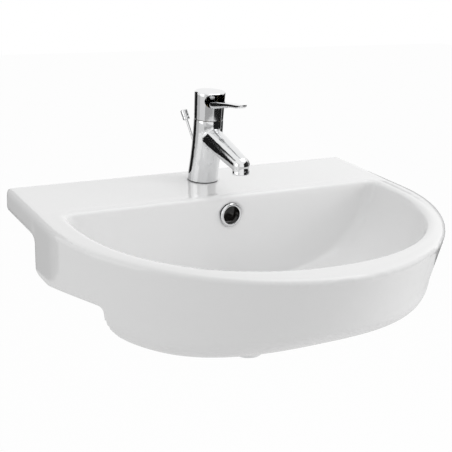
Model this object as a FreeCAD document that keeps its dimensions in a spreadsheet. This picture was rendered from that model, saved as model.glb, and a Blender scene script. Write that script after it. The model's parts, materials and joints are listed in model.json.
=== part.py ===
import FreeCAD, Part
import math
import os
import Sketcher

# Semi recessed basin with a single lever tap and a pop-up waste.
# Millimetres. Origin: middle of the rear face, level with the worktop that the deck rests on.
# +Z is up, the wall is the plane Y = 0, and the bowl projects towards -Y.

DOC = FreeCAD.newDocument("semi_recessed_basin")
SHEET = DOC.addObject("Spreadsheet::Sheet", "Sizes")
NODES = []

DIMENSIONS = [
    # ceramic outline
    ("basin_half_width", 275), ("basin_depth", 436), ("rim_straight", 174.5), ("rim_power", 1.87),
    ("deck_top", 32), ("deck_underside", 14), ("wall_thick", 12), ("rim_round", 6),
    # bowl
    ("bowl_half_width", 241.7), ("bowl_rear", 135), ("bowl_centre", 172), ("bowl_front", 396),
    ("bowl_floor", -92), ("bowl_power", 2.16), ("bowl_wall", 12),
    # underside
    ("apron_rear", 115), ("shoulder_bottom", -20), ("shoulder_slope", 0.242),
    ("shoulder_side_slope", 0.508), ("step_depth", 270),
    ("side_slope", 3), ("front_slope", 26), ("turn_level", -45), ("turn_inset", 57.5), ("turn_power", 1.31),
    ("apron_bottom", -90), ("recess_bottom", -91), ("recess_half_width", 200),
    ("wall_hole_radius", 7), ("wall_hole_spacing", 280), ("wall_hole_level", -30),
    # overflow
    ("overflow_level", 6), ("overflow_hole", 14.5), ("overflow_bore", 12.5), ("overflow_bezel", 16.4),
    ("overflow_lean", 3.84), ("duct_width", 30), ("duct_depth", 10), ("duct_wall", 8),
    # tap
    ("tap_hole_back", 50), ("tap_hole_radius", 17.5), ("tap_axis_back", 58), ("seal_thick", 1.5),
    ("foot_radius", 22), ("joint_radius", 20.7), ("joint_level", 123.2), ("cap_top_radius", 21.7),
    ("cap_top", 162.3), ("joint_gap", 0.8), ("cartridge_bore", 17.7), ("seat_level", 92),
    ("spout_slope", 11.9), ("spout_reach", 98), ("spout_root", 16), ("spout_tip", 12),
    ("spout_level", 101.8), ("nozzle_tilt", 8), ("nozzle_radius", 11.4), ("nozzle_length", 7.2),
    ("water_bore", 6.5), ("inlet_offset", 9.5), ("inlet_back", 47), ("inlet_radius", 4.5),
    ("inlet_thread", 14), ("stud_radius", 3), ("stud_back", 60), ("stud_end", -24),
    ("lever_level", 150.5), ("lever_pivot", 118), ("lever_reach", 97), ("lever_rise", 11.5),
    ("scoop_radius", 9.35),
    # lift rod and pop-up linkage
    ("rod_radius", 1.6), ("rod_back", 36), ("rod_bend", 60), ("rod_foot", -104),
    ("knob_side", -12), ("knob_back", 9), ("knob_level", 119), ("knob_radius", 5), ("knob_length", 15),
    ("pivot_level", -147), ("pivot_back", 173), ("pivot_radius", 2.5), ("ball_radius", 5.5),
    # waste
    ("waste_back", 203), ("waste_hole", 23), ("boss_radius", 38), ("boss_bottom", -122),
    ("flange_radius", 33), ("waste_outer", 20.9), ("waste_inner", 17.5), ("tail_radius", 20.95),
    ("tail_end", -172), ("plug_radius", 28.5), ("plug_lift", 6.2), ("stem_radius", 3.5),
]


def fill_sheet():
    """Write the driving dimensions, one row each, with the name in column A and the value in B."""
    for row, (alias, value) in enumerate(DIMENSIONS, start=1):
        SHEET.set(f"A{row}", alias)
        SHEET.set(f"B{row}", str(value))
        SHEET.setAlias(f"B{row}", alias)
    DOC.recompute()


fill_sheet()
NAMES = sorted((alias for alias, _ in DIMENSIONS), key=len, reverse=True)
VALUES = {alias: float(SHEET.get(alias)) for alias in NAMES}


def size(alias):
    return VALUES[alias]


def formula(text):
    """Turn a formula in sheet names into one that an object can be bound to."""
    words = "".join(c if c.isalnum() or c == "_" else " " for c in text).split()
    for word in sorted(set(words), key=len, reverse=True):
        if word in VALUES:
            text = "".join(
                f"Sizes.{piece}" if piece == word else piece for piece in split_words(text))
    return text


def split_words(text):
    """Cut a formula into words and the signs between them, keeping every character."""
    pieces, current = [], ""
    for char in text:
        if char.isalnum() or char in "_.":
            current += char
        else:
            pieces += [current, char]
            current = ""
    return pieces + [current]


def bind(item, prop, text):
    item.setExpression(prop, formula(str(text)))


def place(item, x=0, y=0, z=0):
    for axis, text in zip("xyz", (x, y, z)):
        bind(item, f"Placement.Base.{axis}", text)
    return item


def turn(item, axis, text):
    """Turn a primitive about one axis through its own origin, in degrees."""
    item.Placement.Rotation = FreeCAD.Rotation(FreeCAD.Vector(*axis), 90)
    bind(item, "Placement.Rotation.Angle", f"({text}) * 1 deg")
    return item


def primitive(kind, name, sizes, x=0, y=0, z=0):
    item = DOC.addObject(kind, name)
    for prop, text in sizes.items():
        bind(item, prop, text)
    return place(item, x, y, z)


def cylinder(name, radius, height, x=0, y=0, z=0):
    return primitive("Part::Cylinder", name, {"Radius": radius, "Height": height}, x, y, z)


def box(name, length, width, height, x=0, y=0, z=0):
    return primitive("Part::Box", name, {"Length": length, "Width": width, "Height": height}, x, y, z)


def ball(name, radius, x=0, y=0, z=0):
    return primitive("Part::Sphere", name, {"Radius": radius}, x, y, z)


def cut(name, base, *tools):
    tool = tools[0] if len(tools) == 1 else fuse(name + "_tools", *tools)
    item = DOC.addObject("Part::Cut", name)
    item.Base = base
    item.Tool = tool
    return item


def fuse(name, *shapes):
    item = DOC.addObject("Part::MultiFuse", name)
    item.Shapes = list(shapes)
    return item


def node(item, label):
    """Mark an object as a finished piece, named as its file will be."""
    item.Label = label
    NODES.append(item)
    return item


def feature(name, shape):
    """Hold a shape that was worked out from the sheet in this script."""
    item = DOC.addObject("Part::Feature", name)
    item.Shape = shape
    item.Placement = FreeCAD.Placement()
    return item


def turned(name, profile, x=0, y=0, z=0):
    """A body turned about its vertical axis from (radius, height) corners, heights from its foot."""
    body = DOC.addObject("PartDesign::Body", name)
    sketch = body.newObject("Sketcher::SketchObject", name + "_profile")
    plane = next(f for f in body.Origin.OriginFeatures if f.Role == "XZ_Plane")
    sketch.AttachmentSupport = [(plane, "")]
    sketch.MapMode = "FlatFace"
    corners = [FreeCAD.Vector(value_of(radius), value_of(height), 0) for radius, height in profile]
    count = len(corners)
    for index, corner in enumerate(corners):
        sketch.addGeometry(Part.LineSegment(corner, corners[(index + 1) % count]), False)
    for index in range(count):
        sketch.addConstraint(Sketcher.Constraint("Coincident", index, 2, (index + 1) % count, 1))
    for index, (radius, height) in enumerate(profile):
        hold_corner(sketch, index, "DistanceX", radius, corners[index].x, -2)
        hold_corner(sketch, index, "DistanceY", height, corners[index].y, -1)
    spin = body.newObject("PartDesign::Revolution", name + "_turning")
    spin.Profile = sketch
    spin.ReferenceAxis = (sketch, ["V_Axis"])
    spin.Angle = 360
    return place(body, x, y, z)


def hold_corner(sketch, index, kind, text, value, axis):
    """Tie one coordinate of a sketch corner to the sheet, or put it on the axis where it is zero."""
    if abs(value) < 1e-9:
        sketch.addConstraint(Sketcher.Constraint("PointOnObject", index, 1, axis))
        return
    number = sketch.addConstraint(Sketcher.Constraint(kind, -1, 1, index, 1, value))
    sketch.setExpression(f"Constraints[{number}]", formula(str(text)))


def value_of(text):
    """Work out a formula of sheet names, numbers, plus and minus signs and products."""
    total = 0.0
    for term in str(text).replace("-", "+-").split("+"):
        if term.strip():
            total += product_of(term)
    return total


def product_of(term):
    result = 1.0
    for factor in term.split("*"):
        sign = -1.0 if "-" in factor else 1.0
        word = factor.replace("-", "").strip()
        result *= sign * (VALUES[word] if word in VALUES else float(word))
    return result


# ---------------------------------------------------------------- ceramic forms

def superellipse(half_width, bulge, power, start, level, count=17):
    """Front half of a plan outline: x = a cos(t)^(2/n), y = -s - b sin(t)^(2/n)."""
    points = []
    for step in range(count):
        angle = math.pi * step / (count - 1)
        across = abs(math.cos(angle)) ** (2 / power) * math.copysign(1, math.cos(angle))
        ahead = math.sin(angle) ** (2 / power) if 0 < step < count - 1 else 0.0
        if abs(math.cos(angle)) < 1e-9:
            across = 0.0
        points.append(FreeCAD.Vector(half_width * across, -start - bulge * ahead, level))
    return points


def smooth_edge(points):
    curve = Part.BSplineCurve()
    curve.interpolate(points)
    return curve.toShape()


def front_wire(half_width, bulge, power, start, level, rear=None):
    """Closed plan outline: a curved front, and a straight rear edge at Y = -start or -rear."""
    points = superellipse(half_width, bulge, power, start, level)
    edges = [smooth_edge(points)]
    if rear is None:
        edges.append(Part.LineSegment(points[-1], points[0]).toShape())
        return Part.Wire(edges)
    left = FreeCAD.Vector(-half_width, -rear, level)
    right = FreeCAD.Vector(half_width, -rear, level)
    edges.append(Part.LineSegment(points[-1], left).toShape())
    edges.append(Part.LineSegment(left, right).toShape())
    edges.append(Part.LineSegment(right, points[0]).toShape())
    return Part.Wire(edges)


def slab_form():
    """The deck and rim band, rounded along its top and bottom outline."""
    straight = size("rim_straight")
    wire = front_wire(size("basin_half_width"), size("basin_depth") - straight, size("rim_power"),
                      straight, 0, rear=0)
    slab = Part.Face(wire).extrude(FreeCAD.Vector(0, 0, size("deck_top")))
    upright = [e for e in slab.Edges if abs(e.BoundBox.ZLength - size("deck_top")) < 0.01
               and e.BoundBox.YMax > -0.01]
    slab = slab.makeFillet(size("rim_round"), upright)
    top = [e for e in slab.Edges if e.BoundBox.ZMin > size("deck_top") - 0.01
           and e.BoundBox.YMin < -1]
    slab = slab.makeFillet(size("rim_round"), top)
    ahead = Part.makeBox(700, 500, size("deck_top") - size("rim_round") + 50)
    ahead.translate(FreeCAD.Vector(-350, -size("apron_rear") - 500, -50))
    return slab.cut(ahead)


def apron_outline(level):
    """The apron's plan at one level: half width, front, power, straight, and how far it has turned in."""
    rim_level, turn_level = size("deck_top") - size("rim_round"), size("turn_level")
    sloped = min(1, (rim_level - level) / (rim_level - turn_level))
    fallen = min(1, max(0, (turn_level - level) / (turn_level - size("apron_bottom"))))
    turned = 1 - (1 - fallen ** size("turn_power")) ** (1 / size("turn_power"))
    half = size("basin_half_width") - size("side_slope") * sloped - size("turn_inset") * turned
    front = size("basin_depth") - size("front_slope") * sloped - size("turn_inset") * turned
    power = size("rim_power") + 0.04 * sloped + 1.3 * turned
    straight = size("rim_straight") - 2.5 * sloped - 30 * turned
    return half, front, power, straight, turned


def apron_form():
    """A wall that slopes in from the rim's edge, and a rounded underside below it."""
    sloping = [size("deck_top") - size("rim_round"), size("turn_level")]
    rounded = [size("turn_level"), -54, -63, -71, -78, -84, -88, size("apron_bottom")]
    forms = []
    for levels, ruled in ((sloping, True), (rounded, False)):
        wires = []
        for level in levels:
            half, front, power, straight, _ = apron_outline(level)
            wires.append(front_wire(half, front - straight, power, straight, level, rear=size("apron_rear")))
        forms.append(Part.makeLoft(wires, True, ruled))
    return forms[0].fuse(forms[1])


def apron_hollow(wall):
    """The space inside the apron, a little more than a wall's thickness in from its outer face."""
    start, inset = size("apron_rear") + wall, wall + 1
    wires = []
    for level in (8, -20, -45, -63, -78, size("apron_bottom") - 1.2):
        half, front, _, _, turned = apron_outline(level)
        wires.append(front_wire(half - inset, front - inset - start, 2.03 + turned, start, level))
    return Part.makeLoft(wires, True, False)


def step_form(side):
    """What is left out under one shoulder: a block whose top rises forwards and outwards."""
    front, rear = -size("step_depth"), 10
    near, width = size("recess_half_width"), 100
    high = size("shoulder_bottom") - size("shoulder_side_slope") * (size("basin_half_width") - near)
    drop = size("shoulder_slope") * (rear - front)
    corners = [(front, high), (rear, high - drop), (rear, -300), (front, -300)]
    points = [FreeCAD.Vector(side * near, y, z) for y, z in corners]
    outline = Part.makePolygon(points + points[:1])
    outwards = FreeCAD.Vector(side * width, 0, size("shoulder_side_slope") * width)
    return Part.Face(outline).extrude(outwards)


def bowl_wire(half, rear, front, corner, centre, level):
    """Bowl outline at one level: straight rear edge, round rear corners and a superellipse in front."""
    points = superellipse(half, front - centre, size("bowl_power"), centre, level)
    lower = rear + corner
    bend = corner * (1 - math.sqrt(0.5))
    left = [FreeCAD.Vector(-half, -lower, level), FreeCAD.Vector(bend - half, -rear - bend, level),
            FreeCAD.Vector(corner - half, -rear, level)]
    right = [FreeCAD.Vector(-p.x, p.y, level) for p in reversed(left)]
    edges = [
        smooth_edge(points), Part.LineSegment(points[-1], left[0]).toShape(),
        Part.Arc(*left).toShape(), Part.LineSegment(left[2], right[0]).toShape(),
        Part.Arc(*right).toShape(), Part.LineSegment(right[2], points[0]).toShape(),
    ]
    return Part.Wire(edges)


def bowl_form(grow):
    """The space inside the bowl, or with grow its outer surface: a row of outlines, rim to floor."""
    floor, rear, front = size("bowl_floor"), size("bowl_rear"), size("bowl_front")
    half, centre = size("bowl_half_width"), size("bowl_centre")
    deep = size("deck_top") + 1 - floor
    levels = [
        (0.0, 0.0, 0, 0, 13, 0), (0.25, 5.5, 1.5, 6, 15, 3), (0.55, 27, 5, 30, 19, 10),
        (0.81, 66, 10, 64, 25, 18), (0.95, 114, 18, 100, 32, 31), (1.0, 158, 28, 124, 28, 37),
    ]
    wires = []
    for part, side_in, rear_in, front_in, corner, centre_in in levels:
        level = size("deck_top") + 1 - deep * part - grow * part
        wires.append(bowl_wire(half - side_in + grow, rear + rear_in - grow, front - front_in + grow,
                               corner + grow * 0.7, centre + centre_in, level))
    return Part.makeLoft(wires, True, False)


def outer_walls():
    """Deck, rim band, shoulders, apron and the recessed box behind it, hollow from below."""
    slab = feature("slab_form", slab_form())
    apron = feature("apron_form", apron_form())
    recess = box("recess_form", "2 * recess_half_width", "step_depth + 10", "20 - recess_bottom",
                 "-recess_half_width", "-step_depth - 10", "recess_bottom")
    outside = fuse("outside_form", slab, apron, recess)
    steps = [feature(f"{name}_step", step_form(side)) for name, side in (("left", -1), ("right", 1))]
    stepped = cut("stepped_form", outside, *steps)
    inner = feature("apron_hollow", apron_hollow(size("wall_thick")))
    ahead = box("front_half_space", "700", "300", "300", "-350", "-step_depth - wall_thick - 300",
                "deck_underside - 300")
    pockets = [box(f"{name}_pocket_space", "90", "step_depth - apron_rear - 2 * wall_thick", "200",
                   start, "-step_depth + wall_thick", "deck_underside - 206")
               for name, start in (("left", "-recess_half_width - wall_thick - 90"),
                                   ("right", "recess_half_width + wall_thick"))]
    keep = fuse("hollow_limits", ahead, *pockets)
    front_hollow = DOC.addObject("Part::Common", "front_hollow")
    front_hollow.Base = inner
    front_hollow.Tool = keep
    middle = box("recess_hollow", "2 * recess_half_width - 2 * wall_thick", "step_depth",
                 "deck_underside - apron_bottom + 2", "wall_thick - recess_half_width",
                 "-step_depth - wall_thick", "apron_bottom - 2")
    return cut("outer_walls", stepped, fuse("hollow_form", front_hollow, middle))


def basin_shell():
    bowl_outside = feature("bowl_outside", bowl_form(size("bowl_wall")))
    duct = box("duct_block", "duct_width + 2 * duct_wall", "duct_depth + 2 * duct_wall",
               "deck_underside - boss_bottom - 6", "-duct_width * 0.5 - duct_wall",
               "-bowl_rear - 4", "boss_bottom + 6")
    floor_duct = box("floor_duct_block", "duct_width + 2 * duct_wall", "waste_back - bowl_rear + 4",
                     "30", "-duct_width * 0.5 - duct_wall", "-waste_back", "boss_bottom + 6")
    boss = cylinder("waste_boss", "boss_radius", "40", 0, "-waste_back", "boss_bottom")
    solid = fuse("solid_ceramic", outer_walls(), bowl_outside, duct, floor_duct, boss)
    bowl = feature("bowl_space", bowl_form(0))
    drop = box("duct_space", "duct_width", "duct_depth", "overflow_level - boss_bottom",
               "-duct_width * 0.5", "-bowl_rear + duct_wall - 2", "boss_bottom + 12")
    run = box("floor_duct_space", "duct_width", "waste_back - bowl_rear + duct_wall", "12",
              "-duct_width * 0.5", "-waste_back", "boss_bottom + 12")
    overflow = turn(cylinder("overflow_opening", "overflow_hole", "26", 0, "-bowl_rear - 12",
                             "overflow_level"), (1, 0, 0), "-90")
    waste = cylinder("waste_opening", "waste_hole", "100", 0, "-waste_back", "boss_bottom - 10")
    seat = cylinder("flange_seat", "flange_radius + 1", "40", 0, "-waste_back", "bowl_floor - 6")
    tap = cylinder("tap_opening", "tap_hole_radius", "60", 0, "-tap_hole_back", "-10")
    holes = [turn(cylinder(f"wall_opening_{n}", "wall_hole_radius", "40", f"{s} * wall_hole_spacing * 0.5",
                           "10", "wall_hole_level"), (1, 0, 0), "90") for n, s in ((1, "-1"), (2, "1"))]
    shell = cut("shell", solid, bowl, drop, run, overflow, waste, seat, tap, *holes)
    node(rim_rounded(shell), "basin_shell")


def rim_rounded(shell):
    """Round the edge where the rim turns down into the bowl."""
    DOC.recompute()
    rim = []
    for number, edge in enumerate(shell.Shape.Edges, start=1):
        space = edge.BoundBox
        if space.ZMin > size("deck_top") - 0.01 and space.YMax < -size("bowl_rear") + 0.5:
            if space.YMin > -size("bowl_front") - 6 and abs(space.XMax) < size("bowl_half_width") + 1:
                rim.append((number, size("rim_round"), size("rim_round")))
    rounded = DOC.addObject("Part::Fillet", "shell_rounded")
    rounded.Base = shell
    rounded.Edges = rim
    return rounded


def overflow_ring():
    ring = turned("overflow_ring_body", [
        ("overflow_bore", 0), ("overflow_hole - 0.8", 0), ("overflow_hole - 0.8", 6),
        ("overflow_bezel", 6), ("overflow_bezel", 7.4), ("overflow_bezel - 1.6", 9),
        ("overflow_bore + 0.6", 9), ("overflow_bore", 7.6)], 0, "-bowl_rear + 4.5", "overflow_level - 0.4")
    node(turn(ring, (1, 0, 0), "90 - overflow_lean"), "overflow_ring")


# ---------------------------------------------------------------- tap

def tap_sections():
    """Centre distance from the wall, radius and level of the circles that the body is lofted through."""
    foot = size("deck_top") + size("seal_thick")
    return [
        (size("tap_hole_back"), size("foot_radius"), foot),
        (size("tap_hole_back") + 1.6, size("foot_radius") - 0.5, foot + 14),
        (size("tap_hole_back") + 4.6, size("foot_radius") - 1.1, foot + 38),
        (size("tap_axis_back") - 0.7, size("joint_radius") + 0.2, foot + 64),
        (size("tap_axis_back"), size("joint_radius"), size("joint_level")),
    ]


def tap_body():
    wires = []
    for back, radius, level in tap_sections():
        circle = Part.Circle(FreeCAD.Vector(0, -back, level), FreeCAD.Vector(0, 0, 1), radius)
        wires.append(Part.Wire([circle.toShape()]))
    column = feature("tap_column", Part.makeLoft(wires, True, False))
    spout = primitive("Part::Cone", "spout_tube",
                      {"Radius1": "spout_root", "Radius2": "spout_tip", "Height": "spout_reach"},
                      0, "-tap_axis_back", "spout_level")
    turn(spout, (1, 0, 0), "90 + spout_slope")
    tip_y = "-tap_axis_back - spout_reach * cos(spout_slope * 1 deg)"
    tip_z = "spout_level - spout_reach * sin(spout_slope * 1 deg)"
    elbow = ball("spout_elbow", "spout_tip", 0, tip_y, tip_z)
    nozzle = turn(cylinder("spout_nozzle", "nozzle_radius", "nozzle_length", 0, tip_y, tip_z),
                  (1, 0, 0), "180 - nozzle_tilt")
    solid = fuse("tap_solid", column, spout, elbow, nozzle)
    chamber = cylinder("cartridge_chamber", "cartridge_bore", "60", 0, "-tap_axis_back", "seat_level")
    outlet = turn(cylinder("spout_water", "water_bore", "spout_reach", 0, "-tap_axis_back",
                           "spout_level"), (1, 0, 0), "90 + spout_slope")
    well = cylinder("outlet_well", "3.5", "9", 0, "-tap_axis_back - 7", "seat_level - 8")
    gallery = box("outlet_gallery", "7", "23", "6", "-3.5", "-tap_axis_back - 30", "seat_level - 8")
    mouth = turn(cylinder("nozzle_water", "nozzle_radius - 1.9", "nozzle_length + 6", 0, tip_y, tip_z),
                 (1, 0, 0), "180 - nozzle_tilt")
    relief = turn(cylinder("nozzle_relief", "nozzle_radius + 0.3", "8", 0,
                           f"{tip_y} - nozzle_length * sin(nozzle_tilt * 1 deg)",
                           f"{tip_z} - nozzle_length * cos(nozzle_tilt * 1 deg)"), (1, 0, 0),
                  "180 - nozzle_tilt")
    drills = [relief]
    for name, side in (("hot", "-1"), ("cold", "1")):
        drills.append(cylinder(f"{name}_port", "inlet_radius", "inlet_thread", f"{side} * inlet_offset",
                               "-inlet_back", "deck_top + seal_thick"))
        drills.append(cylinder(f"{name}_way", "3", "seat_level - deck_top", f"{side} * inlet_offset",
                               "-inlet_back - 3", "deck_top + seal_thick + 4"))
    stud = cylinder("stud_hole", "stud_radius + 0.1", "12", 0, "-stud_back", "deck_top + seal_thick")
    guide = cylinder("rod_guide", "rod_radius + 0.6", "40", 0, "-rod_back", "deck_top - 5")
    slot = box("rod_slot", "2 * rod_radius + 4", "30", "50", "-rod_radius - 2",
               "-rod_back - rod_radius - 0.8", "rod_bend - 8")
    body = cut("tap_drilled", solid, chamber, outlet, well, gallery, mouth, *drills, stud, guide, slot)
    node(body, "tap_body")
    return tip_y, tip_z


def aerator(tip_y, tip_z):
    """Ring, insert and washer under the spout's nozzle, all on the nozzle's tilted axis."""
    rings = [
        ("aerator_housing", [
            ("nozzle_radius - 3", 3.2), ("nozzle_radius - 1.95", 3.2),
            ("nozzle_radius - 1.95", "nozzle_length + 0.1"), ("nozzle_radius", "nozzle_length + 0.1"),
            ("nozzle_radius", "nozzle_length + 4.8"), ("nozzle_radius - 0.8", "nozzle_length + 5.6"),
            ("nozzle_radius - 3", "nozzle_length + 5.6")]),
        ("aerator_insert", [(0, 3.3), ("nozzle_radius - 3.1", 3.3),
                            ("nozzle_radius - 3.1", "nozzle_length + 4.6"),
                            (0, "nozzle_length + 4.6")]),
        ("aerator_washer", [(4, 1), ("nozzle_radius - 1.95", 1), ("nozzle_radius - 1.95", 3.1), (4, 3.1)]),
    ]
    for label, profile in rings:
        ring = turned(label + "_body", profile, 0, tip_y, tip_z)
        node(turn(ring, (1, 0, 0), "180 - nozzle_tilt"), label)


PORTS = [("left", "-7", "4.5"), ("right", "7", "4.5"), ("front", "0", "-7")]


def port_drills(prefix, radius, height, level):
    return [cylinder(f"{prefix}_{name}_way", radius, height, x, f"-tap_axis_back + {y}", level)
            for name, x, y in PORTS]


def cartridge():
    """The ceramic disc cartridge in the head of the tap, with its seals and its nut."""
    axis = "-tap_axis_back"
    seals = [primitive("Part::Torus", f"{name}_seal_ring", {"Radius1": "3.4", "Radius2": "0.9"},
                       x, f"-tap_axis_back + {y}", "seat_level + 0.9") for name, x, y in PORTS]
    node(fuse("seal_rings", *seals), "cartridge_seals")
    case = turned("cartridge_case", [
        (0, 0), ("cartridge_bore - 0.2", 0), ("cartridge_bore - 0.2", 24), (11, 24), (11, 30), (6.6, 30),
        (6.6, 18), (14.5, 18), (14.5, 5), (0, 5)], 0, axis, "seat_level + 1.9")
    node(cut("case_drilled", case, *port_drills("case", "2.2", "8", "seat_level + 1")), "cartridge_body")
    fixed = cylinder("fixed_disc_blank", "14.2", "3", 0, axis, "seat_level + 7")
    node(cut("fixed_disc_drilled", fixed, *port_drills("disc", "2.2", "5", "seat_level + 6")), "fixed_disc")
    moving = cylinder("moving_disc_blank", "10.8", "3.4", 0, axis, "seat_level + 10.1")
    pocket = cylinder("disc_pocket", "6", "1.4", 0, "-tap_axis_back + 1", "seat_level + 10")
    socket = cylinder("disc_socket", "3.2", "3", 0, axis, "seat_level + 12")
    node(cut("moving_disc_cut", moving, pocket, socket), "moving_disc")
    nut = turned("retaining_nut", [(11.4, 0), ("cartridge_bore - 0.1", 0), ("cartridge_bore - 0.1", 6),
                                   (14.6, 6), (14.6, 9), (11.4, 9)], 0, axis, "seat_level + 26")
    node(nut, "cartridge_nut")


def handle():
    """Turning cap, and the lever that lifts in the cap's scoop with the cartridge spindle."""
    axis = "-tap_axis_back"
    cap = turned("cap_blank", [
        (18, 0), ("joint_radius", 0), ("cap_top_radius", "cap_top - joint_level - joint_gap - 1.2"),
        ("cap_top_radius - 1.2", "cap_top - joint_level - joint_gap"),
        (0, "cap_top - joint_level - joint_gap"), (0, "cap_top - joint_level - joint_gap - 2.2"),
        (18, "cap_top - joint_level - joint_gap - 2.2")], 0, axis, "joint_level + joint_gap")
    slot = box("scoop_middle", "13", "30", "2 * scoop_radius", "-6.5", "-tap_axis_back - 34",
               "cap_top - 1 - 2 * scoop_radius")
    ends = [turn(cylinder(f"{name}_scoop_end", "scoop_radius", "30", x, "-tap_axis_back - 4",
                          "cap_top - 1 - scoop_radius"), (1, 0, 0), "90")
            for name, x in (("left", "-6.5"), ("right", "6.5"))]
    node(cut("cap_scooped", cap, slot, *ends), "handle_cap")
    crown = ball("lever_crown", "7.4", 0, "-tap_axis_back - 4", "lever_level + 1.7")
    lever = fuse("lever_blank", feature("lever_paddle", lever_form()), crown)
    screw_way = turn(cylinder("screw_way", "1.5", "9.2", 0, "-tap_axis_back + 12", "lever_level - 0.6"),
                     (1, 0, 0), "90")
    stem_way = box("stem_way", "6.1", "6.1", "14", "-3.05", "-tap_axis_back - 3.05",
                   "lever_level - 14 + 1.2")
    node(cut("lever_drilled", lever, screw_way, stem_way), "handle_lever")
    stem = box("spindle_stem", "6", "6", "lever_level - lever_pivot", "-3", "-tap_axis_back - 3",
               "lever_pivot")
    hub = ball("spindle_hub", "5.6", 0, axis, "lever_pivot - 2")
    finger = cylinder("spindle_finger", "2.6", "12", 0, axis, "seat_level + 12.6")
    pin = turn(cylinder("spindle_pin", "1.6", "12", "-6", axis, "lever_pivot"), (0, 1, 0), "90")
    node(fuse("spindle", stem, hub, finger, pin), "cartridge_spindle")
    screw = turn(cylinder("lever_screw_blank", "1.45", "2.8", 0, "-tap_axis_back + 5.9",
                          "lever_level - 0.6"), (1, 0, 0), "90")
    socket = turn(primitive("Part::Prism", "lever_screw_socket",
                            {"Circumradius": "0.9", "Height": "1.4"}, 0, "-tap_axis_back + 6",
                            "lever_level - 0.6"), (1, 0, 0), "90")
    node(cut("lever_screw_cut", screw, socket), "lever_screw")


def lever_form():
    """A thick root over the spindle, then a paddle that thins and narrows towards its tip."""
    level, back = size("lever_level"), size("tap_axis_back")
    reach, rise = size("lever_reach"), size("lever_rise")
    stations = [
        (6, 9, 10, -1), (-8, 10.5, 11, -1.5), (-22, 11, 11, -1.8), (-42, 9.2, 8, 1),
        (-70, 6.6, 4.6, 0.54 * rise), (2 - reach, 3.8, 2, rise),
    ]
    wires = [paddle_section(along - back, half, thick, level + up) for along, half, thick, up in stations]
    return Part.makeLoft(wires, True, False)


def paddle_section(y, half, thick, level):
    """Upright cross-section of the lever: a rounded bar, crowned on top and flat below."""
    top, low = level + thick / 2, level - thick / 2
    points = [
        FreeCAD.Vector(-half, y, low + thick * 0.3), FreeCAD.Vector(-half * 0.86, y, top - thick * 0.12),
        FreeCAD.Vector(0, y, top), FreeCAD.Vector(half * 0.86, y, top - thick * 0.12),
        FreeCAD.Vector(half, y, low + thick * 0.3), FreeCAD.Vector(half * 0.8, y, low),
        FreeCAD.Vector(-half * 0.8, y, low),
    ]
    crown = smooth_edge(points[:5])
    edges = [crown]
    for first, last in ((4, 5), (5, 6), (6, 0)):
        edges.append(Part.LineSegment(points[first], points[last]).toShape())
    return Part.Wire(edges)


def tap_fixing():
    """What holds the tap to the deck: base seal above it, stud, gasket, washer and nut below it."""
    seal = turned("base_seal", [("tap_hole_radius + 0.5", 0), ("foot_radius - 0.8", 0),
                                ("foot_radius - 0.8", "seal_thick"),
                                ("tap_hole_radius + 0.5", "seal_thick")], 0, "-tap_hole_back", "deck_top")
    node(seal, "tap_base_seal")
    stud = cylinder("stud_blank", "stud_radius", "deck_top + seal_thick + 11.8 - stud_end", 0,
                    "-stud_back", "stud_end")
    node(stud, "fixing_stud")
    for label, thick, low in (("horseshoe_gasket", "2", "2"), ("horseshoe_washer", "3", "5")):
        plate = cylinder(label + "_disc", "26", thick, 0, "-tap_hole_back", f"deck_underside - {low}")
        throat = box(label + "_throat", "31", "60", "8", "-15.5", "-stud_back + 5.6",
                     f"deck_underside - {low} - 2")
        hole = cylinder(label + "_hole", "stud_radius + 0.2", "8", 0, "-stud_back",
                        f"deck_underside - {low} - 2")
        node(cut(label + "_cut", plate, throat, hole), label)
    nut = primitive("Part::Prism", "nut_blank", {"Circumradius": "6.4", "Height": "6"}, 0, "-stud_back",
                    "deck_underside - 11")
    thread = cylinder("nut_thread", "stud_radius + 0.1", "10", 0, "-stud_back", "deck_underside - 13")
    node(cut("nut_cut", nut, thread), "fixing_nut")


# ---------------------------------------------------------------- pop-up waste

def lift_rod():
    foot = cylinder("rod_upright", "rod_radius", "rod_bend - rod_foot", 0, "-rod_back", "rod_foot")
    knee = ball("rod_knee", "rod_radius", 0, "-rod_back", "rod_bend")
    start = FreeCAD.Vector(0, -size("rod_back"), size("rod_bend"))
    end = FreeCAD.Vector(size("knob_side"), -size("knob_back"), size("knob_level"))
    lean = end.sub(start)
    arm = DOC.addObject("Part::Cylinder", "rod_arm")
    bind(arm, "Radius", "rod_radius")
    arm.Height = lean.Length
    arm.Placement = FreeCAD.Placement(start, FreeCAD.Rotation(FreeCAD.Vector(0, 0, 1), lean))
    node(fuse("rod_whole", foot, knee, arm), "lift_rod")
    knob = turned("knob_blank", [
        ("rod_radius + 0.1", 0), ("knob_radius - 1", 0), ("knob_radius", 1), ("knob_radius", 4.4),
        ("knob_radius - 0.8", 5), ("knob_radius", 5.6), ("knob_radius", "knob_length - 1"),
        ("knob_radius - 1", "knob_length"), (0, "knob_length"), (0, 8.1),
        ("rod_radius + 0.1", 8.1)])
    direction = FreeCAD.Vector(lean).normalize()
    for axis in "xyz":
        knob.setExpression(f"Placement.Base.{axis}", None)
    knob.Placement = FreeCAD.Placement(end - direction * 8, FreeCAD.Rotation(FreeCAD.Vector(0, 0, 1), lean))
    node(knob, "lift_knob")


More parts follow.
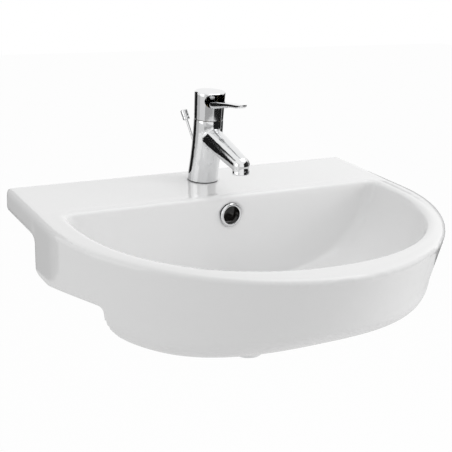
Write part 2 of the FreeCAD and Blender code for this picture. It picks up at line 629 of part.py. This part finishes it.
def linkage():
    """Clamp and strap on the lift rod, the pivot rod that tilts in the waste, its seal and nut."""
    block = box("clamp_block", "12", "12", "16", "-6", "-rod_back - 6", "rod_foot + 4")
    strap = box("clamp_strap", "12", "1.8", "rod_foot - pivot_level + 24", "-6", "-rod_back - 7.7",
                "pivot_level - 8")
    bore = cylinder("clamp_bore", "rod_radius + 0.1", "30", 0, "-rod_back", "rod_foot")
    eyes = [turn(cylinder(f"strap_eye_{n}", "3.4", "12", 0, "-rod_back", f"pivot_level + {10 * n}"),
                 (1, 0, 0), "90") for n in (0, 1, 2, 3)]
    thread = turn(cylinder("clamp_thread", "2", "12", 0, "-rod_back", "rod_foot + 12"), (0, 1, 0), "90")
    whole = fuse("clamp_whole", block, strap)
    node(cut("clamp_cut", whole, bore, thread, *eyes), "rod_clamp")
    shank = turn(cylinder("clamp_screw_shank", "1.95", "9", "rod_radius", "-rod_back", "rod_foot + 12"),
                 (0, 1, 0), "90")
    head = turn(cylinder("clamp_screw_head", "4.5", "4", "rod_radius + 9", "-rod_back", "rod_foot + 12"),
                (0, 1, 0), "90")
    node(fuse("clamp_screw_whole", shank, head), "clamp_screw")
    rod = turn(cylinder("pivot_rod_blank", "pivot_radius", "waste_back - 24 + 6", 0, "-waste_back - 6",
                        "pivot_level"), (1, 0, 0), "-90")
    pivot = ball("pivot_ball", "ball_radius", 0, "-pivot_back", "pivot_level")
    node(fuse("pivot_whole", rod, pivot), "pivot_rod")
    seal = turned("pivot_seal_body", [("ball_radius + 0.15", 0), (8.8, 0), (8.8, 6.4),
                                      ("ball_radius + 0.15", 6.4)], 0, "-pivot_back - 1.5", "pivot_level")
    node(turn(seal, (1, 0, 0), "-90"), "pivot_seal")
    nut = turned("pivot_nut_body", [(11.6, 0), (15, 0), (15, 13), (7.2, 13), (7.2, 10.6), (11.6, 10.6)],
                 0, "-pivot_back - 2.4", "pivot_level")
    node(turn(nut, (1, 0, 0), "-90"), "pivot_nut")


def waste():
    """Flange, seals, back nut, body and plug of the pop-up waste, on one vertical axis."""
    y = "-waste_back"
    flange = turned("flange_blank", [
        ("waste_inner", 0), ("waste_outer", 0), ("waste_outer", 44), ("flange_radius", 44),
        ("flange_radius", 47.6), ("flange_radius - 1.2", 48.8), ("plug_radius + 1.2", 48.8),
        ("waste_inner + 2", 45.6), ("waste_inner", 44.4)], 0, y, "bowl_floor - 48")
    slots = box("overflow_slots", "60", "10", "9", "-30", "-waste_back - 5", "bowl_floor - 16")
    cross = box("overflow_slots_cross", "10", "60", "9", "-5", "-waste_back - 30", "bowl_floor - 16")
    node(cut("flange_slotted", flange, slots, cross), "waste_flange")
    rings = [
        ("flange_seal", "waste_outer + 0.6", "flange_radius - 1.5", "bowl_floor - 6", "1.95"),
        ("lower_seal", "waste_outer + 0.2", "31", "boss_bottom - 5", "5"),
        ("waste_backnut", "waste_outer + 0.05", "34", "boss_bottom - 9.9", "4.8"),
    ]
    for label, inner, outer, low, height in rings:
        node(turned(label + "_body", [(inner, 0), (outer, 0), (outer, height), (inner, height)], 0, y, low),
             label)
    body = turned("waste_body_blank", [
        ("waste_inner", 0), ("tail_radius", 0), ("tail_radius", 12), (26, 14), (26, 36),
        ("waste_outer + 0.1", 36), ("waste_outer + 0.1", 30.5), ("waste_inner", 30.5)], 0, y, "tail_end")
    port = turn(cylinder("port_blank", "11.5", "38", 0, y, "pivot_level"), (1, 0, 0), "-90")
    core = cylinder("port_core", "waste_outer + 0.15", "30", 0, y, "pivot_level - 15")
    neck = cut("port_neck", port, core)
    way = turn(cylinder("port_way", "6.2", "60", 0, "-waste_back", "pivot_level"), (1, 0, 0), "-90")
    pocket = turn(cylinder("seal_pocket", "8.9", "20", 0, "-pivot_back - 1.6", "pivot_level"),
                  (1, 0, 0), "-90")
    whole = fuse("waste_body_whole", body, neck)
    node(cut("waste_body_cut", whole, way, pocket), "waste_body")
    plug()


def plug():
    """Domed cap on a stem with a cross of guide fins, shown raised."""
    y = "-waste_back"
    low = "pivot_level + pivot_radius + 0.25"
    cap = turned("plug_cap", [
        (0, 0), (16, 0), ("plug_radius - 1", 1.2), ("plug_radius", 2), ("plug_radius", 3),
        ("plug_radius - 1.4", 4), (0, 5.4)], 0, y, "bowl_floor + plug_lift - 0.7")
    stem = cylinder("plug_stem", "stem_radius",
                    "bowl_floor + plug_lift - pivot_level - pivot_radius - stem_radius - 0.25",
                    0, y, low + " + stem_radius")
    tip = ball("plug_stem_tip", "stem_radius", 0, y, low + " + stem_radius")
    fins = [box("plug_fin_1", "2 * waste_inner - 1.6", "2", "24", "0.8 - waste_inner",
                "-waste_back - 1", "bowl_floor - 38"),
            box("plug_fin_2", "2", "2 * waste_inner - 1.6", "24", "-1",
                "0.8 - waste_inner - waste_back", "bowl_floor - 38")]
    node(fuse("plug_whole", cap, stem, tip, *fins), "pop_up_plug")
    seal = turned("plug_seal_body", [(12, 0), (16.4, 0), (16.4, 1.3), (12, 1.3)], 0, y,
                  "bowl_floor + plug_lift - 2.05")
    node(seal, "plug_seal")


def check_and_write():
    """Stop if anything failed to build, then write each piece to its own file."""
    DOC.recompute()
    for item in DOC.Objects:
        if "Invalid" in item.State or "Error" in item.State:
            raise RuntimeError(f"{item.Name} failed: {item.State}")
    os.makedirs("parts", exist_ok=True)
    for item in NODES:
        if item.Shape.isNull() or not item.Shape.isValid():
            raise RuntimeError(f"{item.Label} has no valid shape")
        item.Shape.exportStep(os.path.join("parts", item.Label + ".step"))
        space, count = item.Shape.BoundBox, len(item.Shape.Solids)
        print(f"{item.Label:20s} solids {count} volume {item.Shape.Volume:12.1f} x {space.XMin:.1f} "
              f"{space.XMax:.1f} y {space.YMin:.1f} {space.YMax:.1f} z {space.ZMin:.1f} {space.ZMax:.1f}")


basin_shell()
overflow_ring()
tip = tap_body()
aerator(*tip)
cartridge()
handle()
tap_fixing()
lift_rod()
linkage()
waste()
check_and_write()
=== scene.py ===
# %% [markdown]
# # A semi recessed basin with a single lever tap
# The imported model is the fixed frame that every piece here is fitted to. It is loaded first.

# %% Load the frame
import json
import math
import bmesh
import bpy
from mathutils import Matrix, Vector


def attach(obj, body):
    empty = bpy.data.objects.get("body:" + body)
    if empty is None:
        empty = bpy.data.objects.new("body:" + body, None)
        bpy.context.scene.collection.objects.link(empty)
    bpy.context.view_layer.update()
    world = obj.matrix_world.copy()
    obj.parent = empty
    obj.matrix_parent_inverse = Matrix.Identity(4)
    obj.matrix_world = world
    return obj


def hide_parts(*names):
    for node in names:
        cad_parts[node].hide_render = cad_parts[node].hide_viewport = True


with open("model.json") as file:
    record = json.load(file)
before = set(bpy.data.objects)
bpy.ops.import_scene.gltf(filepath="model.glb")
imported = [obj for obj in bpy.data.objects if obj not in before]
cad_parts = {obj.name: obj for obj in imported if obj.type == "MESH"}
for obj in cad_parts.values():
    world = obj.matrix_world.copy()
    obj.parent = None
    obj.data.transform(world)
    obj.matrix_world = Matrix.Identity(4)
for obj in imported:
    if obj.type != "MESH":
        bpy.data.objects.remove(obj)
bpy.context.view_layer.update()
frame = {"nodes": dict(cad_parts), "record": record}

nodes = frame["nodes"]

# %% [markdown]
# ## The camera
# The view is the one a person has from the left of the basin, a little above the rim. An empty to aim
# at would be the quick way to place a camera. Here the angles and the place were worked out from the
# rim's outline, so they are written as numbers, and the matrix is built from the camera's own right,
# up and back directions.

# %% Camera
FRAME_PIXELS = 452
FOCAL_PIXELS = 937.94
FILM_WIDTH = 36
YAW, PITCH, ROLL = math.radians(30.49), math.radians(19.38), math.radians(-3.64)
EYE = Vector((-0.6266, -1.1893, 0.4200))


def camera_axes(yaw, pitch, roll):
    """Right, up and forward directions: yaw turns towards +X, pitch looks down, roll tilts the frame."""
    forward = Vector((math.sin(yaw) * math.cos(pitch), math.cos(yaw) * math.cos(pitch), -math.sin(pitch)))
    level = Vector((math.cos(yaw), -math.sin(yaw), 0))
    upright = level.cross(forward)
    right = math.cos(roll) * level - math.sin(roll) * upright
    up = math.sin(roll) * level + math.cos(roll) * upright
    return right, up, forward


right, up, forward = camera_axes(YAW, PITCH, ROLL)
lens = bpy.data.cameras.new("view")
lens.sensor_width = FILM_WIDTH
lens.lens = FILM_WIDTH * FOCAL_PIXELS / FRAME_PIXELS
lens.clip_start, lens.clip_end = 0.05, 50
camera = bpy.data.objects.new("view", lens)
bpy.context.scene.collection.objects.link(camera)
turn = Matrix((right, up, -forward)).transposed().to_4x4()
camera.matrix_world = Matrix.Translation(EYE) @ turn
bpy.context.scene.camera = camera
bpy.context.scene.view_settings.view_transform = "Standard"
print("lens", round(lens.lens, 2), "mm")

# %% [markdown]
# ## Finishes
# A finish is a small set of shader nodes. They could be joined by hand in the shader editor. The
# helpers below clear a node tree, make a material, and add a node with its values, so that each
# finish reads as a short list.

# %% Node helpers
def empty_tree(owner):
    """The node tree of a material or a world, with nothing in it."""
    owner.use_nodes = True
    owner.node_tree.nodes.clear()
    return owner.node_tree


def material(name):
    """A new material with only a Principled shader and an output."""
    made = bpy.data.materials.new(name)
    tree = empty_tree(made)
    shader = tree.nodes.new("ShaderNodeBsdfPrincipled")
    out = tree.nodes.new("ShaderNodeOutputMaterial")
    tree.links.new(shader.outputs["BSDF"], out.inputs["Surface"])
    return made, tree, shader


def add(tree, kind, **values):
    """A node of one kind, with its inputs or properties set by name."""
    made = tree.nodes.new(kind)
    for name, value in values.items():
        match = [socket for socket in made.inputs if socket.name.lower() == name]
        if match:
            match[0].default_value = value
        else:
            setattr(made, name, value)
    return made


def colour_sockets(sockets):
    """The colour sockets among a Mix node's inputs or outputs, which all share their names."""
    return [socket for socket in sockets if socket.type == "RGBA"]


def grey(level):
    """A plain grey, with its fourth value for opacity."""
    return (level, level, level, 1)


# %% [markdown]
# Cast and glazed things are never perfectly even. A picture could give that unevenness, but noise
# worked out in object space has no seam and no edge. One node group gives every finish a slow change
# of tone and a very shallow waviness, each with its own size and strength.

# %% Unevenness shared by the finishes
WAVE_HEIGHT = 0.0004
NOISE_MIDDLE = 0.5


def uneven_group():
    """Group with Scale, Tone, Wave and Depth in, and a tone factor and a normal out.

    The factor is one plus Tone times how far the slow noise is from its middle value.
    """
    group = bpy.data.node_groups.new("unevenness", "ShaderNodeTree")
    for name, usual in (("Scale", 20.0), ("Tone", 0.02), ("Wave", 60.0), ("Depth", 0.1)):
        socket = group.interface.new_socket(name, in_out="INPUT", socket_type="NodeSocketFloat")
        socket.default_value = usual
    group.interface.new_socket("Factor", in_out="OUTPUT", socket_type="NodeSocketFloat")
    group.interface.new_socket("Normal", in_out="OUTPUT", socket_type="NodeSocketVector")
    inside = group.nodes.new("NodeGroupInput")
    outside = group.nodes.new("NodeGroupOutput")
    place = group.nodes.new("ShaderNodeTexCoord")
    slow = add(group, "ShaderNodeTexNoise", detail=3.0)
    fine = add(group, "ShaderNodeTexNoise", detail=2.0)
    link = group.links.new
    link(place.outputs["Object"], slow.inputs["Vector"])
    link(place.outputs["Object"], fine.inputs["Vector"])
    link(inside.outputs["Scale"], slow.inputs["Scale"])
    link(inside.outputs["Wave"], fine.inputs["Scale"])
    centred = add(group, "ShaderNodeMath", operation="SUBTRACT")
    centred.inputs[1].default_value = NOISE_MIDDLE
    link(slow.outputs["Fac"], centred.inputs[0])
    scaled = add(group, "ShaderNodeMath", operation="MULTIPLY")
    link(centred.outputs[0], scaled.inputs[0])
    link(inside.outputs["Tone"], scaled.inputs[1])
    lifted = add(group, "ShaderNodeMath", operation="ADD")
    lifted.inputs[1].default_value = 1.0
    link(scaled.outputs[0], lifted.inputs[0])
    link(lifted.outputs[0], outside.inputs["Factor"])
    bump = add(group, "ShaderNodeBump", distance=WAVE_HEIGHT)
    link(inside.outputs["Depth"], bump.inputs["Strength"])
    link(fine.outputs["Fac"], bump.inputs["Height"])
    link(bump.outputs["Normal"], outside.inputs["Normal"])
    return group


UNEVEN = uneven_group()
print("unevenness", len(UNEVEN.nodes), "nodes")

# %% [markdown]
# Every finish is the same Principled shader with its own colour, roughness and metal. The shared
# group multiplies the colour by its tone factor and gives the shader its waved normal, so a new
# finish costs one line.

# %% A finish
def finish(name, colour, rough, metal=0.0, scale=20.0, tone=0.02, wave=60.0, depth=0.1):
    """A Principled finish whose colour is toned and whose surface is waved by the shared group."""
    made, tree, shader = material(name)
    shader.inputs["Roughness"].default_value = rough
    shader.inputs["Metallic"].default_value = metal
    uneven = tree.nodes.new("ShaderNodeGroup")
    uneven.node_tree = UNEVEN
    for label, value in (("Scale", scale), ("Tone", tone), ("Wave", wave), ("Depth", depth)):
        uneven.inputs[label].default_value = value
    mix = add(tree, "ShaderNodeMix", data_type="RGBA", blend_type="MULTIPLY")
    mix.inputs["Factor"].default_value = 1.0
    plain, toned = colour_sockets(mix.inputs)
    plain.default_value = (*colour, 1)
    tree.links.new(uneven.outputs["Factor"], toned)
    tree.links.new(colour_sockets(mix.outputs)[0], shader.inputs["Base Color"])
    tree.links.new(uneven.outputs["Normal"], shader.inputs["Normal"])
    return made


# %% [markdown]
# The overflow is a duct cast behind the bowl's rear wall. On the real basin it is raw clay that gets
# no light, and it looks almost black from outside. The duct belongs to the same piece as the bowl, so
# it can't have a finish of its own. A box in object space masks it, and painted shade goes there: a
# colour much darker than clay is, so that the hole looks as deep as it is.

# %% The overflow's duct, with painted shade
DUCT_HALF_WIDTH = 0.0155
DUCT_HALF_DEPTH = 0.0155
DUCT_BACK = -0.1185
DUCT_LEVEL = 0.006
# painted shade for the duct's inside, far darker than its raw clay
DUCT_PAINTED_SHADE = (0.035, 0.033, 0.03)


def duct_shade_mask_group():
    """Group with a mask out: 1 inside a box round the duct's mouth, where the shade is painted, 0
    elsewhere.

    The mask is the product of three comparisons, one for each axis.
    """
    group = bpy.data.node_groups.new("duct_shade_mask", "ShaderNodeTree")
    group.interface.new_socket("Mask", in_out="OUTPUT", socket_type="NodeSocketFloat")
    outside = group.nodes.new("NodeGroupOutput")
    place = group.nodes.new("ShaderNodeTexCoord")
    axes = group.nodes.new("ShaderNodeSeparateXYZ")
    group.links.new(place.outputs["Object"], axes.inputs[0])
    spans = (("X", 0.0, DUCT_HALF_WIDTH), ("Y", DUCT_BACK, DUCT_HALF_DEPTH),
             ("Z", DUCT_LEVEL, DUCT_HALF_WIDTH))
    mask = None
    for axis, middle, reach in spans:
        near = add(group, "ShaderNodeMath", operation="COMPARE")
        near.inputs[1].default_value = middle
        near.inputs[2].default_value = reach
        group.links.new(axes.outputs[axis], near.inputs[0])
        if mask is None:
            mask = near.outputs[0]
            continue
        both = add(group, "ShaderNodeMath", operation="MULTIPLY")
        group.links.new(mask, both.inputs[0])
        group.links.new(near.outputs[0], both.inputs[1])
        mask = both.outputs[0]
    group.links.new(mask, outside.inputs["Mask"])
    return group


def paint_duct_shade(glazed):
    """Paint shade into a finish inside the duct: its colour passes through a Mix node that the mask
    drives.
    """
    tree = glazed.node_tree
    shader = next(node for node in tree.nodes if node.type == "BSDF_PRINCIPLED")
    before = shader.inputs["Base Color"].links[0].from_socket
    inside = tree.nodes.new("ShaderNodeGroup")
    inside.node_tree = duct_shade_mask_group()
    mix = add(tree, "ShaderNodeMix", data_type="RGBA")
    glazed_colour, painted_shade_colour = colour_sockets(mix.inputs)
    painted_shade_colour.default_value = (*DUCT_PAINTED_SHADE, 1)
    tree.links.new(inside.outputs["Mask"], mix.inputs["Factor"])
    tree.links.new(before, glazed_colour)
    tree.links.new(colour_sockets(mix.outputs)[0], shader.inputs["Base Color"])


# %% [markdown]
# The basin is white vitreous china. Its glaze is a smooth clear glass layer over a soft white body.
# A coat over a rough base could show the two layers, but on white they look like one, so the finish
# is a near-white base with low roughness. The metal is chrome plate on brass: a mirror with almost
# no colour. The hidden parts get the plain finishes of their materials.

# %% Finishes
glaze = finish("white_glaze", (0.86, 0.86, 0.86), 0.10,
               scale=4.0, tone=0.015, wave=28.0, depth=0.04)
# the glaze gets painted shade inside the overflow's duct
paint_duct_shade(glaze)
chrome = finish("chrome_plate", (0.80, 0.805, 0.81), 0.07, metal=1.0,
                scale=30.0, tone=0.02, wave=90.0, depth=0.02)
brass = finish("machined_brass", (0.75, 0.58, 0.30), 0.28, metal=1.0,
               scale=60.0, tone=0.06, wave=300.0, depth=0.15)
steel = finish("stainless_steel", (0.62, 0.62, 0.63), 0.32, metal=1.0,
               scale=80.0, tone=0.06, wave=400.0, depth=0.15)
plastic = finish("grey_plastic", (0.42, 0.43, 0.45), 0.45,
                 scale=90.0, tone=0.04, wave=500.0, depth=0.12)
rubber = finish("black_rubber", (0.10, 0.10, 0.105), 0.6,
                scale=120.0, tone=0.2, wave=700.0, depth=0.3)
lapped = finish("lapped_disc", (0.9, 0.88, 0.82), 0.2,
                scale=60.0, tone=0.03, wave=200.0, depth=0.05)
FINISHES = {
    "glazed_ceramic": glaze, "chrome_plate": chrome, "brass_parts": brass, "stainless_steel": steel,
    "grey_plastic": plastic, "black_rubber": rubber, "disc_ceramic": lapped,
}
slot_of = {part["node"]: part["material_slot"] for part in frame["record"]["subparts"]}
body_of = {n: body for body, members in frame["record"]["behaviour"]["bodies"].items() for n in members}
for name, item in nodes.items():
    for place in item.material_slots:
        place.material = FINISHES[slot_of[name]]
print("finished nodes", len(nodes), "with", len(FINISHES), "finishes")

# %% [markdown]
# ## Smooth skins
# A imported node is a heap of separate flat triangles. A copy of it, with its doubled points merged and
# its shading smoothed wherever the surface bends gently, shows the true curves in a glossy finish.
# Normals are weighted by area, so a broad flat face keeps its own flat shade beside a narrow round.

# %% Smooth copies
MERGE_DISTANCE = 1e-6
GENTLE_BEND = math.radians(30)
AREA_WEIGHT = 60


def merged_copy(name):
    """A new piece with a copy of a node's mesh, its doubled points merged, in the node's finish."""
    mesh = nodes[name].data.copy()
    work = bmesh.new()
    work.from_mesh(mesh)
    bmesh.ops.remove_doubles(work, verts=work.verts, dist=MERGE_DISTANCE)
    work.to_mesh(mesh)
    work.free()
    mesh.materials.clear()
    mesh.materials.append(FINISHES[slot_of[name]])
    piece = bpy.data.objects.new(name + "_skin", mesh)
    bpy.context.scene.collection.objects.link(piece)
    return piece


def settle(piece):
    """Write the result of a piece's modifiers into its own mesh."""
    view = bpy.context.evaluated_depsgraph_get()
    mesh = bpy.data.meshes.new_from_object(piece.evaluated_get(view), depsgraph=view)
    piece.modifiers.clear()
    piece.data = mesh
    return piece


def stand_for(piece, name):
    """Let a piece ride with a node's body and take its place in the look."""
    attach(piece, body_of[name])
    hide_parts(name)
    return piece


def smooth_copy(name):
    """A node's merged copy, smooth where it bends gently and sharp elsewhere, in the node's place."""
    piece = merged_copy(name)
    piece.data.shade_smooth()
    piece.data.set_sharp_from_angle(angle=GENTLE_BEND)
    weigh = piece.modifiers.new("weigh", "WEIGHTED_NORMAL")
    weigh.keep_sharp = True
    weigh.weight = AREA_WEIGHT
    return stand_for(settle(piece), name)


for name in nodes:
    if name != "basin_shell":
        print(name, len(smooth_copy(name).data.polygons))

# %% [markdown]
# ## The casting
# Slip-cast china has no sharp edge anywhere: the glaze and the mould round every corner. Bevels could
# round them, but they fail where many faces meet at a thin angle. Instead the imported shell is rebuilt
# as an even net of small squares, and a few passes of smoothing round its corners.

# %% Cast basin
CAST_NET = 0.0034
CAST_PASSES = 5
CAST_PULL = 0.5


def cast_basin():
    """The shell as a net of squares, each point moved CAST_PULL of the way to its neighbours' middle."""
    piece = merged_copy("basin_shell")
    net = piece.modifiers.new("net", "REMESH")
    net.mode, net.voxel_size = "VOXEL", CAST_NET
    soft = piece.modifiers.new("soft", "SMOOTH")
    soft.factor, soft.iterations = CAST_PULL, CAST_PASSES
    settle(piece)
    piece.data.shade_smooth()
    piece.data.materials.clear()
    piece.data.materials.append(FINISHES["glazed_ceramic"])
    return stand_for(piece, "basin_shell")


print("cast net", len(cast_basin().data.polygons))

# %% [markdown]
# ## The room
# The basin hangs at its height over a plain pale floor in soft light. A white floor would be the
# simple way to a white background, but it would throw too much light up at the basin. So the camera
# sees nearly full white there, while the light that reaches the basin stays gentle. A small share of
# the true floor shows through, and carries the shadow.

# %% Floor
FLOOR_LEVEL = -0.85
FLOOR_REACH = 6.0
FLOOR_TONE = 0.8
WHITE_SHARE = 0.96


def flat_panel(name, corners, surface):
    """An object with one flat face through four corners, in one material."""
    mesh = bpy.data.meshes.new(name)
    mesh.from_pydata(corners, [], [(0, 1, 2, 3)])
    mesh.materials.append(surface)
    panel = bpy.data.objects.new(name, mesh)
    bpy.context.scene.collection.objects.link(panel)
    return panel


def pale_surface():
    """A matt pale material that the camera sees mixed with white."""
    pale = bpy.data.materials.new("pale_floor")
    tree = empty_tree(pale)
    matt = add(tree, "ShaderNodeBsdfDiffuse", color=grey(FLOOR_TONE))
    seen = add(tree, "ShaderNodeEmission", color=grey(1), strength=1.0)
    rays = tree.nodes.new("ShaderNodeLightPath")
    share = add(tree, "ShaderNodeMath", operation="MULTIPLY")
    share.inputs[1].default_value = WHITE_SHARE
    blend = tree.nodes.new("ShaderNodeMixShader")
    output = tree.nodes.new("ShaderNodeOutputMaterial")
    tree.links.new(rays.outputs["Is Camera Ray"], share.inputs[0])
    tree.links.new(share.outputs[0], blend.inputs[0])
    tree.links.new(matt.outputs[0], blend.inputs[1])
    tree.links.new(seen.outputs[0], blend.inputs[2])
    tree.links.new(blend.outputs[0], output.inputs["Surface"])
    return pale


floor_corners = [(FLOOR_REACH * x, FLOOR_REACH * y, FLOOR_LEVEL)
                 for x, y in ((-1, -1), (1, -1), (1, 1), (-1, 1))]
floor = flat_panel("floor", floor_corners, pale_surface())
print("floor", round(-FLOOR_LEVEL, 2), "m below the worktop's level")

# %% [markdown]
# The world is an even grey light on the china. The camera and the mirror rays see it as full white,
# so the background is white and the chrome shows a bright room.

# %% World
ROOM_STRENGTH = 0.68


def soft_room():
    """A world that lights at ROOM_STRENGTH and looks white to the camera and in mirrors."""
    world = bpy.data.worlds.new("soft_room")
    tree = empty_tree(world)
    room = add(tree, "ShaderNodeBackground", color=grey(1), strength=ROOM_STRENGTH)
    white = add(tree, "ShaderNodeBackground", color=grey(1), strength=1.0)
    rays = tree.nodes.new("ShaderNodeLightPath")
    either = add(tree, "ShaderNodeMath", operation="MAXIMUM")
    choose = tree.nodes.new("ShaderNodeMixShader")
    output = tree.nodes.new("ShaderNodeOutputWorld")
    tree.links.new(rays.outputs["Is Camera Ray"], either.inputs[0])
    tree.links.new(rays.outputs["Is Glossy Ray"], either.inputs[1])
    tree.links.new(either.outputs[0], choose.inputs[0])
    tree.links.new(room.outputs[0], choose.inputs[1])
    tree.links.new(white.outputs[0], choose.inputs[2])
    tree.links.new(choose.outputs[0], output.inputs["Surface"])
    return world


bpy.context.scene.world = soft_room()
print("world light", ROOM_STRENGTH)

# %% [markdown]
# The lamps are broad squares, because a small lamp would leave hard bright spots on the glaze. The
# right one is the strongest, as the china is brightest there.

# %% Lamps
BASIN_MIDDLE = (0, -0.2, 0)


def soft_lamp(name, place, side, power):
    """A square area lamp at a place, turned to face the middle of the basin."""
    data = bpy.data.lights.new(name, "AREA")
    data.shape, data.size, data.energy = "SQUARE", side, power
    lamp = bpy.data.objects.new(name, data)
    bpy.context.scene.collection.objects.link(lamp)
    towards = Vector(BASIN_MIDDLE) - Vector(place)
    facing = towards.to_track_quat("-Z", "Y").to_matrix().to_4x4()
    lamp.matrix_world = Matrix.Translation(place) @ facing
    print(name, power, "W at", round(towards.length, 2), "m")


soft_lamp("overhead", (0.5, -0.2, 1.7), 1.4, 7)
soft_lamp("from_right", (1.8, -0.9, 0.5), 1.0, 13)
soft_lamp("from_left", (-1.7, -0.2, 0.3), 1.0, 3)

# %% [markdown]
# Chrome shows the room around it. In a studio, black and grey boards stand beside a metal piece to
# give it stripes. The cards here do the same, and only mirrors see them: they light nothing and throw
# no shadow.

# %% Cards for the chrome
TAP_HEAD = Vector((0, -0.06, 0.10))


def even_tone(name, shade):
    """A material that is one plain grey under any light."""
    tone = bpy.data.materials.new(name)
    tree = empty_tree(tone)
    glow = add(tree, "ShaderNodeEmission", color=grey(shade), strength=1.0)
    out = tree.nodes.new("ShaderNodeOutputMaterial")
    tree.links.new(glow.outputs[0], out.inputs["Surface"])
    return tone


def card(name, bearing, lift, distance, width, height, shade):
    """A card facing the tap, at a bearing from +X and a lift above level, both in degrees."""
    turned, raised = math.radians(bearing), math.radians(lift)
    level = math.cos(raised)
    outward = Vector((level * math.cos(turned), level * math.sin(turned), math.sin(raised)))
    middle = TAP_HEAD + outward * distance
    along = Vector((-math.sin(turned), math.cos(turned), 0)) * width / 2
    rise = outward.cross(along).normalized() * height / 2
    corners = [middle - along - rise, middle + along - rise, middle + along + rise, middle - along + rise]
    item = flat_panel(name, corners, even_tone(name, shade))
    item.visible_camera = item.visible_shadow = item.visible_diffuse = item.visible_transmission = False
    print(name, "at", [round(v, 2) for v in middle])


card("dark_behind_left", 117, 4, 1.3, 1.0, 1.7, 0.012)
card("dark_right", 318, 6, 1.2, 1.9, 1.3, 0.015)
card("dark_far_right", 20, -9, 1.3, 0.9, 0.8, 0.03)
card("grey_front", 195, 5, 2.4, 2.8, 2.2, 0.74)
card("grey_low", 240, -20, 1.7, 1.8, 0.5, 0.4)
